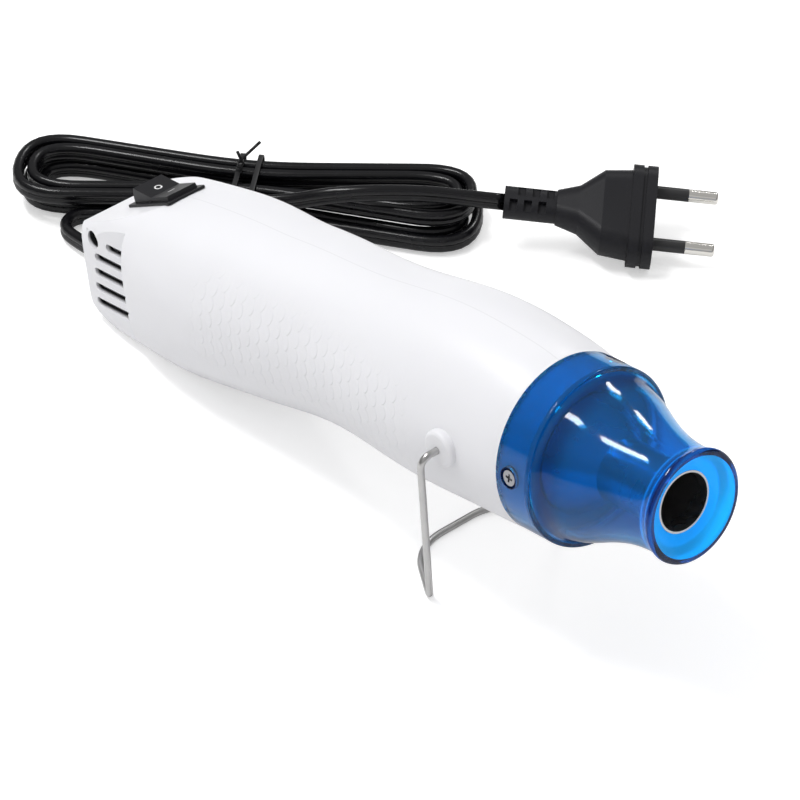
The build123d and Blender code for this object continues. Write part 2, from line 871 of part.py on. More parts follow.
with BuildPart() as rectifier_board:
    with BuildSketch(across(-board_rear)):
        Circle(board_radius)
    extrude(amount=board_thickness)
rectifier_board.part.label = "rectifier_board"
export_step(rectifier_board.part, "parts/rectifier_board.step")

with BuildPart() as rectifier_diodes:
    with BuildSketch(across(-board_rear)):
        with GridLocations(diode_spacing, diode_spacing, 2, 2):
            Circle(diode_radius)
    extrude(amount=-diode_length)
rectifier_diodes.part.label = "rectifier_diodes"
export_step(rectifier_diodes.part, "parts/rectifier_diodes.step")

with BuildPart() as capacitor:
    with BuildSketch(across(-board_rear)):
        with Locations((0, diode_spacing + capacitor_depth / 2)):
            RectangleRounded(capacitor_width, capacitor_depth, slip)
    extrude(amount=-capacitor_height)
capacitor.part.label = "capacitor"
export_step(capacitor.part, "parts/capacitor.step")

# Rocker switch
rocker_half_opening = switch_length / 2 - switch_wall
rocker_reach = rocker_half_opening - rocker_gap
rocker_half_width = switch_width / 2 - switch_wall - rocker_gap
rocker_pivot = deck.from_local_coords((0, 0, rocker_pin_rise))
pin_end = rocker_half_width + rocker_gap + rocker_pin_length
with BuildPart() as switch_body:
    with BuildSketch(deck):
        RectangleRounded(bezel_length, bezel_width, bezel_corner)
    extrude(amount=bezel_height)
    with BuildSketch(deck):
        Rectangle(switch_length, switch_width)
    extrude(amount=-switch_depth)
    with BuildSketch(deck.offset(bezel_height)):
        Rectangle(2 * rocker_half_opening, 2 * (rocker_half_width + rocker_gap))
    extrude(amount=-bezel_height - rocker_depth - rocker_room, mode=Mode.SUBTRACT)
    with BuildSketch(Plane(origin=rocker_pivot, x_dir=deck.x_dir, z_dir=(0, -1, 0))):
        Circle(rocker_pin_radius + running_gap)
    extrude(amount=pin_end + running_gap, both=True, mode=Mode.SUBTRACT)
    bezel_rim = faces().sort_by(Axis(deck.origin, deck.z_dir))[-1].outer_wire().edges()
    chamfer(bezel_rim, bezel_height / 4)
switch_body.part.label = "switch_body"
export_step(switch_body.part, "parts/switch_body.step")

swing = radians(rocker_swing)
rocker_plane = Plane(
    origin=rocker_pivot,
    x_dir=deck.x_dir * cos(swing) - deck.z_dir * sin(swing),
    z_dir=deck.z_dir * cos(swing) + deck.x_dir * sin(swing),
)
rocker_side = Plane(origin=rocker_pivot, x_dir=rocker_plane.x_dir, z_dir=(0, -1, 0))
with BuildPart() as switch_rocker:
    with BuildSketch(rocker_side):
        Circle(rocker_reach)
        with BuildLine():
            Polyline(
                (-rocker_reach, rocker_height + rocker_reach * tan(swing)),
                (0, rocker_height),
                (rocker_reach, rocker_height + rocker_reach * tan(swing)),
                (rocker_reach, -rocker_depth),
                (-rocker_reach, -rocker_depth),
                close=True,
            )
        make_face(mode=Mode.INTERSECT)
    extrude(amount=rocker_half_width, both=True)
    with BuildSketch(rocker_side):
        Circle(rocker_pin_radius)
    extrude(amount=pin_end, both=True)
    for side in (1, -1):
        mark_place = (side * mark_offset, 0, rocker_height + mark_offset * tan(swing))
        half_plane = Plane(
            origin=rocker_plane.from_local_coords(mark_place),
            x_dir=rocker_plane.x_dir * cos(swing) + rocker_plane.z_dir * side * sin(swing),
            z_dir=rocker_plane.z_dir * cos(swing) - rocker_plane.x_dir * side * sin(swing),
        )
        with BuildSketch(half_plane):
            if side < 0:
                Circle(mark_radius)
                Circle(mark_radius - mark_width, mode=Mode.SUBTRACT)
            else:
                Rectangle(mark_width, 2 * mark_radius)
        extrude(amount=-mark_depth, mode=Mode.SUBTRACT)
switch_rocker.part.label = "switch_rocker"
export_step(switch_rocker.part, "parts/switch_rocker.step")

with BuildPart() as switch_tabs:
    with BuildSketch(deck.offset(-switch_depth)):
        with GridLocations(tab_spacing, 0, 2, 1):
            Rectangle(tab_thickness, tab_width)
    extrude(amount=-tab_length)
switch_tabs.part.label = "switch_tabs"
export_step(switch_tabs.part, "parts/switch_tabs.step")

# Tail screw, from the right-hand shell into the left
screw_seat = tail_hole_depth - cheek_half_width
with BuildPart() as tail_screw:
    with BuildSketch(lengthwise(screw_seat)):
        with Locations((-tail_screw_place, tail_screw_rise)):
            Circle(tail_head_radius)
    extrude(amount=tail_head_height)
    with BuildSketch(lengthwise(screw_seat)):
        with Locations((-tail_screw_place, tail_screw_rise)):
            Circle(tail_screw_radius)
    extrude(amount=-tail_screw_length)
    with BuildSketch(lengthwise(screw_seat - tail_head_height)):
        with Locations((-tail_screw_place, tail_screw_rise)):
            Rectangle(guard_drive_width, screw_drive_width)
            Rectangle(screw_drive_width, guard_drive_width)
    extrude(amount=-screw_drive_depth, mode=Mode.SUBTRACT)
tail_screw.part.label = "tail_screw"
export_step(tail_screw.part, "parts/tail_screw.step")

# Wire stand: one bent rod, hooked into the bosses
foot_x = pivot.X - foot_set_back
half_stand = [
    Vector(pivot.X, pivot_boss_face - pivot_depth, pivot.Z),
    Vector(pivot.X, leg_top_spread, pivot.Z),
    Vector(foot_x, foot_spread, wire_radius),
    Vector(foot_x - bow_depth, bow_half_width, wire_radius),
]
stand_points = [Vector(point.X, -point.Y, point.Z) for point in half_stand] + half_stand[::-1]
bow_run = (half_stand[3] - half_stand[2]).length
bow_turn = (half_stand[3] - half_stand[2]).get_angle(Vector(0, -1, 0))
bow_bend = arc_share * min(bow_run, 2 * bow_half_width) / tan(radians(bow_turn) / 2)
with BuildPart() as wire_stand:
    with BuildLine():
        FilletPolyline(*stand_points, radius=[leg_bend, foot_bend, bow_bend, bow_bend, foot_bend, leg_bend])
    with BuildSketch(Plane(origin=stand_points[0], z_dir=(0, -1, 0))):
        Circle(wire_radius)
    sweep()
wire_stand.part.label = "wire_stand"
export_step(wire_stand.part, "parts/wire_stand.step")

# Ribbed strain relief through the tail wall
relief_axis = Axis(tool.from_local_coords((0, 0, -relief_drop)), tool.x_dir)
relief_end = body_length + relief_reach
with BuildPart() as strain_relief:
    with BuildSketch(lengthwise()):
        with BuildLine():
            Polyline(
                (relief_flange_thickness - relief_wall_inside, -relief_drop),
                (relief_flange_thickness - relief_wall_inside, relief_flange_radius - relief_drop),
                (-relief_wall_inside, relief_flange_radius - relief_drop),
                (-relief_wall_inside, relief_root_radius - relief_drop),
                (-body_length, relief_root_radius - relief_drop),
                (-relief_end, relief_end_radius - relief_drop),
                (-relief_end, -relief_drop),
                close=True,
            )
        make_face()
    revolve(axis=relief_axis)
    for number in range(relief_groove_count):
        groove_out = relief_groove_start + number * relief_groove_pitch
        relief_taper = (relief_root_radius - relief_end_radius) * groove_out / relief_reach
        groove_floor = relief_root_radius - relief_taper - relief_groove_depth
        with BuildSketch(across(-body_length - groove_out)):
            with Locations((0, -relief_drop)):
                Circle(relief_flange_radius)
                Circle(groove_floor, mode=Mode.SUBTRACT)
        extrude(amount=-relief_groove_width, mode=Mode.SUBTRACT)
strain_relief.part.label = "strain_relief"
export_step(strain_relief.part, "parts/strain_relief.step")

# Flat twin cord: lead, hank and plug lead
relief_mouth = tool.from_local_coords((-relief_end, 0, -relief_drop))
hank_lean = radians(hank_turned)
hank = Plane(
    origin=(relief_mouth.X + hank_forward, hank_side, 0),
    x_dir=(cos(hank_lean), sin(hank_lean), 0),
    z_dir=(0, 0, 1),
)
low_level = hank_lift + cord_width / 2
high_level = low_level + cord_width + loop_gap
side_step = cord_thickness + loop_gap
middle_run = (hank_run_count - 1) // 2
hank_route = []
for run in range(hank_run_count):
    heading = 1 if run % 2 == 0 else -1
    depths = [min(n, hank_run_count - 1 - n) / 2 for n in (run - 1, run, run + 1)]
    levels = [low_level if n <= middle_run else high_level for n in (run, run + 1)]
    lobe = -heading * (lobe_half_width - depths[1] * side_step)
    waist = -heading * (waist_half_width - depths[1] * waist_step)
    start_reach = hank_half_length - (depths[0] + depths[1]) / 2 * side_step
    end_reach = hank_half_length - (depths[1] + depths[2]) / 2 * side_step
    hank_route += [
        (-heading * start_reach, lobe, levels[0]),
        (0, waist, sum(levels) / 2),
        (heading * end_reach, lobe, levels[1]),
    ]
first_corner, first_waist = Vector(hank_route[0]), Vector(hank_route[1])
last_waist, last_corner = Vector(hank_route[-2]), Vector(hank_route[-1])
last_run = (last_corner - last_waist) * (1 / hank_half_length)

pitch = radians(plug_pitch)
turned = radians(plug_turned)
plug_axis = Vector(cos(turned) * cos(pitch), sin(turned) * cos(pitch), -sin(pitch))
plug_side = Vector(-sin(turned), cos(turned), 0)
plug_up = plug_axis.cross(plug_side)
plug_mouth = hank.from_local_coords(plug_start)
hank_end = plug_mouth - plug_axis * plug_lead_length
hank_points = [hank.from_local_coords(first_corner + (first_waist - first_corner) * start_share)]
hank_points += [hank.from_local_coords(point) for point in hank_route[1:-1]]
hank_points += [
    hank.from_local_coords(last_waist + last_run * exit_climb_start),
    hank.from_local_coords(last_waist + last_run * exit_climb_end + Vector(0, 0, exit_rise)),
    hank_end - plug_axis * exit_straight,
    hank_end,
]
hank_radii = []
for before, corner, after in zip(hank_points, hank_points[1:], hank_points[2:]):
    shorter_run = min((corner - before).length, (after - corner).length)
    turn = radians((corner - before).get_angle(after - corner))
    if turn > hank_end_turn:
        hank_radii.append(end_share * shorter_run / tan(turn / 2))
    else:
        hank_radii.append(min(waist_bend, arc_share * shorter_run / tan(turn / 2)))
with BuildPart() as cord_hank:
    with BuildLine() as hank_line:
        FilletPolyline(*hank_points, radius=hank_radii)
    with BuildSketch(Plane(origin=hank_points[0], x_dir=(0, 0, 1), z_dir=hank_points[1] - hank_points[0])):
        SlotOverall(cord_width, cord_thickness)
    sweep()
cord_hank.part.label = "cord_hank"
export_step(cord_hank.part, "parts/cord_hank.step")

hank_start_run = (hank_points[1] - hank_points[0]).normalized()
lead_points = [
    relief_mouth,
    relief_mouth - tool.x_dir * lead_first_run,
    hank.from_local_coords((*lead_turn, low_level)),
    hank_points[0] - hank_start_run * lead_last_run,
    hank_points[0],
]
lead_points, lead_radii = tube_path(lead_points)
with BuildPart() as cord_lead:
    with BuildLine() as lead_line:
        FilletPolyline(*lead_points, radius=lead_radii)
    with BuildSketch(Plane(origin=lead_points[0], x_dir=tool.z_dir, z_dir=-tool.x_dir)):
        SlotOverall(cord_width, cord_thickness)
    sweep()
cord_lead.part.label = "cord_lead"
export_step(cord_lead.part, "parts/cord_lead.step")

with BuildPart() as cord_plug_lead:
    with BuildSketch(Plane(origin=hank_end, x_dir=plug_up, z_dir=plug_axis)):
        SlotOverall(cord_width, cord_thickness)
    extrude(amount=plug_lead_length)
cord_plug_lead.part.label = "cord_plug_lead"
export_step(cord_plug_lead.part, "parts/cord_plug_lead.step")

cord_section = (cord_width - cord_thickness) * cord_thickness + pi * cord_thickness**2 / 4
for name, route, solid, radii in [
    ("hank", hank_line.wire(), cord_hank.part, hank_radii),
    ("lead", lead_line.wire(), cord_lead.part, lead_radii),
]:
    print(name, "length", round(route.length, 1), "radii", [round(radius, 1) for radius in radii])
    print(name, "volume over section times length", round(solid.volume / cord_section / route.length, 4))
hank_wire = hank_line.wire()
sample_count = int(hank_wire.length / gap_sample)
samples = [hank_wire @ (n / sample_count) for n in range(sample_count)]
least_gap = min(
    max(Vector(b.X - a.X, b.Y - a.Y, 0).length - cord_thickness, abs(b.Z - a.Z) - cord_width)
    for n, a in enumerate(samples)
    for b in samples[n + int(gap_skip / gap_sample):]
)
print("hank's least gap to itself", round(least_gap, 3))

# Twist tie: two flat wraps, a knot and two loose ends
tie_inside = 2 * (waist_half_width + cord_thickness / 2 + tie_room)
tie_bottom = hank_lift - tie_slip
tie_top = high_level + cord_width / 2 + tie_slip
tie_height = tie_top - tie_bottom
with BuildPart() as twist_tie:
    for side in (1, -1):
        wrap_middle = hank.from_local_coords((side * tie_wrap_spacing / 2, 0, (tie_bottom + tie_top) / 2))
        with BuildSketch(Plane(origin=wrap_middle, x_dir=hank.y_dir, z_dir=hank.x_dir)):
            RectangleRounded(tie_inside + 2 * tie_thickness, tie_height + 2 * tie_thickness, tie_corner)
            RectangleRounded(tie_inside, tie_height, tie_corner - tie_thickness, mode=Mode.SUBTRACT)
        extrude(amount=tie_width / 2, both=True)
    with BuildSketch(Plane(origin=hank.from_local_coords((0, 0, tie_top)), z_dir=(0, 0, 1))):
        Circle(tie_knot_radius)
    extrude(amount=tie_knot_height)
    for side in (1, -1):
        tail_lean = radians(side * tie_tail_lean)
        tail_axis = hank.x_dir * sin(tail_lean) + hank.z_dir * cos(tail_lean)
        tail_start = hank.from_local_coords((0, 0, tie_top + tie_knot_height - tie_tail_radius))
        with BuildSketch(Plane(origin=tail_start, z_dir=tail_axis)):
            Circle(tie_tail_radius)
        extrude(amount=tie_tail_length)
twist_tie.part.label = "twist_tie"
export_step(twist_tie.part, "parts/twist_tie.step")

# Two-pin plug lying on its edge
roll = radians(plug_roll)
plug = Plane(origin=plug_mouth, x_dir=plug_side * cos(roll) + plug_up * sin(roll), z_dir=plug_axis)
flange_place = plug_relief_length + plug_body_length
plug_face = flange_place + plug_flange_length
groove_floor_width = plug_flange_width - 2 * plug_groove_depth
groove_floor_height = plug_flange_height - 2 * plug_groove_depth
with BuildPart() as plug_body:
    with BuildSketch(plug):
        SlotOverall(plug_relief_width, plug_relief_height)
    extrude(amount=plug_relief_length)
    for place, width, height in plug_ring_shares:
        with BuildSketch(plug.offset(plug_relief_length + place * plug_body_length)):
            SlotOverall(width * plug_flange_width, height * plug_flange_height)
    loft(ruled=True)
    with BuildSketch(plug.offset(flange_place)):
        SlotOverall(plug_flange_width, plug_flange_height)
    extrude(amount=plug_flange_length)
    with BuildSketch(plug.offset(flange_place + (plug_flange_length - plug_groove_width) / 2)):
        SlotOverall(plug_flange_width + overrun, plug_flange_height + overrun)
        SlotOverall(groove_floor_width, groove_floor_height, mode=Mode.SUBTRACT)
    extrude(amount=plug_groove_width, mode=Mode.SUBTRACT)
    # Staggered pockets that let the relief bend
    for face in (1, -1):
        for side in (1, -1):
            for number in range(plug_pocket_count):
                place = plug_pocket_start + number * plug_pocket_pitch + (1 + side) / 2 * plug_pocket_length
                pocket_middle = (side * plug_pocket_offset, face * plug_relief_height / 2, place)
                pocket_origin = plug.from_local_coords(pocket_middle)
                with BuildSketch(Plane(origin=pocket_origin, x_dir=plug.x_dir, z_dir=plug.y_dir * face)):
                    Rectangle(plug_pocket_width, plug_pocket_length)
                extrude(amount=-plug_pocket_depth, mode=Mode.SUBTRACT)
    with BuildSketch(plug.offset(plug_face)):
        with GridLocations(pin_spacing, 0, 2, 1):
            Circle(pin_core_radius + running_gap)
    extrude(amount=-pin_seat - running_gap, mode=Mode.SUBTRACT)
plug_body.part.label = "plug_body"
export_step(plug_body.part, "parts/plug_body.step")

with BuildPart() as plug_pins:
    with BuildSketch(plug.offset(plug_face - pin_seat)):
        with GridLocations(pin_spacing, 0, 2, 1):
            Circle(pin_core_radius)
    extrude(amount=pin_seat + pin_sleeve_length + running_gap)
    with BuildSketch(plug.offset(plug_face + pin_sleeve_length + running_gap)):
        with GridLocations(pin_spacing, 0, 2, 1):
            Circle(pin_radius)
    extrude(amount=pin_length - pin_sleeve_length - running_gap)
    pin_tips = faces().sort_by(Axis(plug.origin, plug.z_dir))[-2:].edges()
    fillet(pin_tips, pin_round)
plug_pins.part.label = "plug_pins"
export_step(plug_pins.part, "parts/plug_pins.step")

with BuildPart() as plug_pin_sleeves:
    with BuildSketch(plug.offset(plug_face)):
        with GridLocations(pin_spacing, 0, 2, 1):
            Circle(pin_radius)
            Circle(pin_core_radius + running_gap, mode=Mode.SUBTRACT)
    extrude(amount=pin_sleeve_length)
plug_pin_sleeves.part.label = "plug_pin_sleeves"
export_step(plug_pin_sleeves.part, "parts/plug_pin_sleeves.step")

# Wires from the relief to the switch and the board
relief_front = relief_flange_thickness - relief_wall_inside
tab_end = switch_depth + tab_length
rear_tab = tool.to_local_coords(deck.from_local_coords((-tab_spacing / 2, 0, -tab_end)))
front_tab = tool.to_local_coords(deck.from_local_coords((tab_spacing / 2, 0, -tab_end)))
tab_drop = tool.to_local_coords(deck.origin - deck.z_dir * tab_length)
tab_step = tab_drop - tool.to_local_coords(deck.origin)
wire_routes = [
    [
        Vector(relief_front, wire_lead_spread, -relief_drop),
        Vector(relief_front + tab_length, wire_lead_spread, -relief_drop),
        Vector(rear_tab.X + wire_lead_spread, wire_lead_spread, rear_tab.Z - 2 * tab_length),
        rear_tab + tab_step,
        rear_tab,
    ],
    [
        Vector(relief_front, -wire_lead_spread, -relief_drop),
        Vector(relief_front + tab_length, -wire_lead_spread, -relief_drop),
        Vector(front_tab.X - tab_length, -tab_width, -relief_drop + wire_lead_spread),
        Vector(-board_rear - tab_length, -tab_width, -board_radius / 2),
        Vector(-board_rear, -tab_width, -board_radius / 2),
    ],
    [
        front_tab,
        front_tab + tab_step,
        Vector(-board_rear - diode_length, 0, wire_lead_radius - board_radius / 2),
        Vector(-board_rear, 0, wire_lead_radius - board_radius / 2),
    ],
]
with BuildPart() as inner_leads:
    for route in wire_routes:
        route_points, route_radii = tube_path([tool.from_local_coords(point) for point in route])
        with BuildLine() as route_line:
            FilletPolyline(*route_points, radius=route_radii)
        with BuildSketch(Plane(origin=route_points[0], z_dir=route_points[1] - route_points[0])):
            Circle(wire_lead_radius)
        sweep(path=route_line.line)
inner_leads.part.label = "inner_leads"
export_step(inner_leads.part, "parts/inner_leads.step")

print("plug lowest", plug_body.part.bounding_box().min.Z)
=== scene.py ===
import json
import math

import bpy
from mathutils import Matrix, Vector


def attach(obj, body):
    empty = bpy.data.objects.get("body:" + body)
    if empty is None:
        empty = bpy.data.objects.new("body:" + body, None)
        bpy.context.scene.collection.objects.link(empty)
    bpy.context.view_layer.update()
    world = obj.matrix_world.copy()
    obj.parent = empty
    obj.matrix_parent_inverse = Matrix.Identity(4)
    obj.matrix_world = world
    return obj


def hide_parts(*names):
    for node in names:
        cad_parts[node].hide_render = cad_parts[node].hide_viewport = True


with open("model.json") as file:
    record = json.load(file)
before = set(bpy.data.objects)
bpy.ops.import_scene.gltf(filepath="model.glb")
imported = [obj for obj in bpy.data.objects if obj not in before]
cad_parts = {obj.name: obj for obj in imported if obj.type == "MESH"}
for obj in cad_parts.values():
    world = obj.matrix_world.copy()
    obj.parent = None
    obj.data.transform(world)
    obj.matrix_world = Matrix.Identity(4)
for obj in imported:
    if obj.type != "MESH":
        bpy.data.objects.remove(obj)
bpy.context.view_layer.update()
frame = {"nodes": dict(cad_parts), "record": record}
nodes = frame["nodes"]
print("stage: frame loaded,", len(nodes), "nodes")

mm = 0.001  # pieces are worked out in millimetres, and Blender's unit is the metre
sideways = Vector((0, 1, 0))
upright = Vector((0, 0, 1))

# Camera, fitted to the photograph
view = {
    "target": (9.1531, 0, 31.65),
    "azimuth": 48.84,
    "elevation": 38.69,
    "distance": 1422.5,
    "lens": 225,
    "sensor": 36,
}
azimuth, elevation = math.radians(view["azimuth"]), math.radians(view["elevation"])
back = Vector((
    math.sin(azimuth) * math.cos(elevation),
    -math.cos(azimuth) * math.cos(elevation),
    math.sin(elevation),
))
imageRight = Vector((math.cos(azimuth), math.sin(azimuth), 0))
cameraData = bpy.data.cameras.new("camera")
cameraData.lens = view["lens"]
cameraData.sensor_width = view["sensor"]
cameraData.clip_start = 0.05
camera = bpy.data.objects.new("camera", cameraData)
camera.location = (Vector(view["target"]) + back * view["distance"]) * mm
camera.rotation_euler = (-back).to_track_quat("-Z", "Y").to_euler()
bpy.context.scene.collection.objects.link(camera)
bpy.context.scene.camera = camera

# The leaning tool: its own place is taken from the middle of the collar's rear edge
stance = {"collarX": 78.7731, "axisHeight": 59.0, "lean": 9.0}
lean = math.radians(stance["lean"])
toolOrigin = Vector((stance["collarX"], 0, stance["axisHeight"]))
toolX = Vector((math.cos(lean), 0, math.sin(lean)))
toolZ = Vector((-math.sin(lean), 0, math.cos(lean)))


def inTool(x, y, z):
    return toolOrigin + toolX * x + sideways * y + toolZ * z


# Node tools
def feed(tree, value, socket):
    if isinstance(value, bpy.types.NodeSocket):
        tree.links.new(value, socket)
    else:
        socket.default_value = value


def addNode(tree, kind, inputs=None, **settings):
    made = tree.nodes.new(kind)
    for name, value in settings.items():
        setattr(made, name, value)
    for name, value in (inputs or {}).items():
        feed(tree, value, made.inputs[name])
    return made


def mathNode(tree, operation, first, second=0.0, third=0.0, clamp=False):
    made = addNode(tree, "ShaderNodeMath", operation=operation, use_clamp=clamp)
    for slot, value in enumerate((first, second, third)):
        feed(tree, value, made.inputs[slot])
    return made.outputs[0]


def product(tree, first, *others):
    for other in others:
        first = mathNode(tree, "MULTIPLY", first, other)
    return first


def diagonal(tree, first, second):
    squares = mathNode(tree, "ADD", product(tree, first, first), product(tree, second, second))
    return mathNode(tree, "SQRT", squares)


def band(tree, value, none, full):
    # None of it at the first limit, all of it at the second, smooth between
    made = addNode(
        tree, "ShaderNodeMapRange", {"Value": value, "From Min": none, "From Max": full},
        interpolation_type="SMOOTHSTEP",
    )
    return made.outputs["Result"]


def mixColor(tree, factor, first, second):
    made = addNode(
        tree, "ShaderNodeMix", {"Factor": factor, "A": first, "B": second}, data_type="RGBA"
    )
    return made.outputs["Result"]


def placeFrom(tree, origin):
    made = addNode(tree, "ShaderNodeVectorMath", operation="SUBTRACT")
    feed(tree, addNode(tree, "ShaderNodeTexCoord").outputs["Object"], made.inputs[0])
    feed(tree, origin * mm, made.inputs[1])
    return made.outputs[0]


def along(tree, vector, axis):
    made = addNode(tree, "ShaderNodeVectorMath", operation="DOT_PRODUCT")
    feed(tree, vector, made.inputs[0])
    feed(tree, axis / mm, made.inputs[1])
    return made.outputs["Value"]


def newGroup(name, inputs, outputs):
    group = bpy.data.node_groups.new(name, "ShaderNodeTree")
    for direction, sockets in (("INPUT", inputs), ("OUTPUT", outputs)):
        for socket, kind in sockets.items():
            group.interface.new_socket(
                name=socket, in_out=direction, socket_type="NodeSocket" + kind
            )
    entry, leave = (group.nodes.new("NodeGroup" + side) for side in ("Input", "Output"))
    return group, entry.outputs, leave.inputs


def groupNode(tree, group, inputs):
    return addNode(tree, "ShaderNodeGroup", inputs, node_tree=group).outputs


# Fine grain of a moulded or worked surface
grain, given, result = newGroup(
    "grain", {"Scale": "Float", "Height": "Float"}, {"Normal": "Vector"}
)
noise = addNode(grain, "ShaderNodeTexNoise", {
    "Vector": addNode(grain, "ShaderNodeTexCoord").outputs["Object"],
    "Scale": given["Scale"], "Detail": 5.0, "Roughness": 0.6,
})
bump = addNode(grain, "ShaderNodeBump", {
    "Distance": given["Height"], "Height": noise.outputs[0], "Strength": 1.0,
})
feed(grain, bump.outputs[0], result["Normal"])

# Slow change of tone over a surface
tone, given, result = newGroup(
    "tone", {"Color": "Color", "Spread": "Float", "Scale": "Float"},
    {"Color": "Color", "Value": "Float"},
)
noise = addNode(tone, "ShaderNodeTexNoise", {
    "Vector": addNode(tone, "ShaderNodeTexCoord").outputs["Object"],
    "Scale": given["Scale"], "Detail": 3.0,
})
centred = mathNode(tone, "SUBTRACT", noise.outputs[0], 0.5)
shade = addNode(tone, "ShaderNodeHueSaturation", {
    "Value": mathNode(tone, "MULTIPLY_ADD", centred, given["Spread"], 1.0),
    "Color": given["Color"],
})
feed(tone, shade.outputs[0], result["Color"])
feed(tone, noise.outputs[0], result["Value"])

# Place along and across the leaning tool, in millimetres
toolPlace, given, result = newGroup(
    "toolPlace", {}, {"Along": "Float", "Side": "Float", "Rise": "Float", "Reach": "Float"}
)
spot = placeFrom(toolPlace, toolOrigin)
side, rise = along(toolPlace, spot, sideways), along(toolPlace, spot, toolZ)
feed(toolPlace, along(toolPlace, spot, toolX), result["Along"])
feed(toolPlace, side, result["Side"])
feed(toolPlace, rise, result["Rise"])
feed(toolPlace, diagonal(toolPlace, side, rise), result["Reach"])


def startMaterial(name):
    material = bpy.data.materials.new(name)
    material.use_nodes = True
    tree = material.node_tree
    shader = next(made for made in tree.nodes if made.type == "BSDF_PRINCIPLED")
    return material, tree, shader.inputs


def plainMaterial(name, color, roughness, metallic=0.0, spread=0.1, toneScale=60.0,
                  grainScale=900.0, grainHeight=0.00002, **settings):
    material, tree, shader = startMaterial(name)
    toned = groupNode(tree, tone, {"Color": (*color, 1), "Spread": spread, "Scale": toneScale})
    grained = groupNode(tree, grain, {"Scale": grainScale, "Height": grainHeight})
    feed(tree, toned["Color"], shader["Base Color"])
    feed(tree, grained["Normal"], shader["Normal"])
    unevenness = mathNode(tree, "SUBTRACT", toned["Value"], 0.5)
    rough = mathNode(tree, "MULTIPLY_ADD", unevenness, 0.15, roughness, clamp=True)
    feed(tree, rough, shader["Roughness"])
    shader["Metallic"].default_value = metallic
    for socket, value in settings.items():
        shader[socket.replace("_", " ")].default_value = value
    return material


# White body: satin moulding, painted near-black inside its vents as shade, with a scale-like grip
# on its sides
shell = {
    "color": (0.72, 0.72, 0.745, 1),
    # dark: near-black for the painted shade inside the vents, also mixed in faintly along the seam
    # line between the shells
    "dark": (0.012, 0.012, 0.014, 1),
    "roughness": 0.30,
    "gloss": 0.36,
    "ventShadeAlong": (-193.0, -192.4, -168.0, -166.0),  # none, full, full, none
    "ventShadeRise": (-23.5, -23.0, 4.2, 4.6),
    "ventShadeDepth": (17.9, 17.0),
    "seamWidth": (0.16, 0.05),
    "seamShare": 0.14,
    "gripAlong": (-140.0, -125.0, -42.0, -30.0),
    "gripRise": (-18.0, -8.0, 11.0, 19.0),
    "scaleLength": 4.2,
    "scaleWidth": 4.6,
    "scaleEdge": (0.62, 0.50),
    "scaleHeight": 0.14,
    "grainScale": 1400.0,
    "grainHeight": 0.01,
}


def between(tree, value, limits):
    startNone, startFull, endFull, endNone = limits
    started = band(tree, value, startNone, startFull)
    return product(tree, started, band(tree, value, endNone, endFull))


whiteShell, tree, shader = startMaterial("whiteShell")
placed = groupNode(tree, toolPlace, {})
toned = groupNode(tree, tone, {"Color": shell["color"], "Spread": 0.03, "Scale": 25.0})
outward = mathNode(tree, "ABSOLUTE", placed["Side"])
# Painted shade: the insides of the vent slots are mixed towards near-black; the seam line is a
# faint dark joint
ventShade = product(
    tree, between(tree, placed["Along"], shell["ventShadeAlong"]),
    between(tree, placed["Rise"], shell["ventShadeRise"]), band(tree, outward, *shell["ventShadeDepth"]),
)
seam = product(tree, band(tree, outward, *shell["seamWidth"]), shell["seamShare"])
darkShare = mathNode(tree, "MAXIMUM", ventShade, seam)
feed(tree, mixColor(tree, darkShare, toned["Color"], shell["dark"]), shader["Base Color"])
row = mathNode(tree, "DIVIDE", placed["Along"], shell["scaleLength"])
column = mathNode(tree, "DIVIDE", placed["Rise"], shell["scaleWidth"])
rowShift = product(tree, mathNode(tree, "MODULO", mathNode(tree, "FLOOR", row), 2.0), 0.5)
columnShare = mathNode(tree, "FRACT", mathNode(tree, "ADD", column, rowShift))
fromScale = diagonal(
    tree, mathNode(tree, "SUBTRACT", columnShare, 0.5), mathNode(tree, "FRACT", row)
)
gripHeight = product(
    tree, band(tree, fromScale, *shell["scaleEdge"]),
    between(tree, placed["Along"], shell["gripAlong"]),
    between(tree, placed["Rise"], shell["gripRise"]),
)
gripBump = addNode(tree, "ShaderNodeBump", {
    "Distance": shell["scaleHeight"] * mm, "Height": gripHeight,
})
fineNoise = addNode(tree, "ShaderNodeTexNoise", {
    "Vector": addNode(tree, "ShaderNodeTexCoord").outputs["Object"],
    "Scale": shell["grainScale"], "Detail": 4.0,
})
fineBump = addNode(tree, "ShaderNodeBump", {
    "Distance": shell["grainHeight"] * mm, "Height": fineNoise.outputs[0],
    "Normal": gripBump.outputs[0],
})
feed(tree, fineBump.outputs[0], shader["Normal"])
rough = mathNode(tree, "MULTIPLY_ADD", toned["Value"], 0.12, shell["roughness"])
feed(tree, rough, shader["Roughness"])
shader["Specular IOR Level"].default_value = shell["gloss"]
shader["Subsurface Weight"].default_value = 0.08
shader["Subsurface Radius"].default_value = (0.0015, 0.0015, 0.0018)

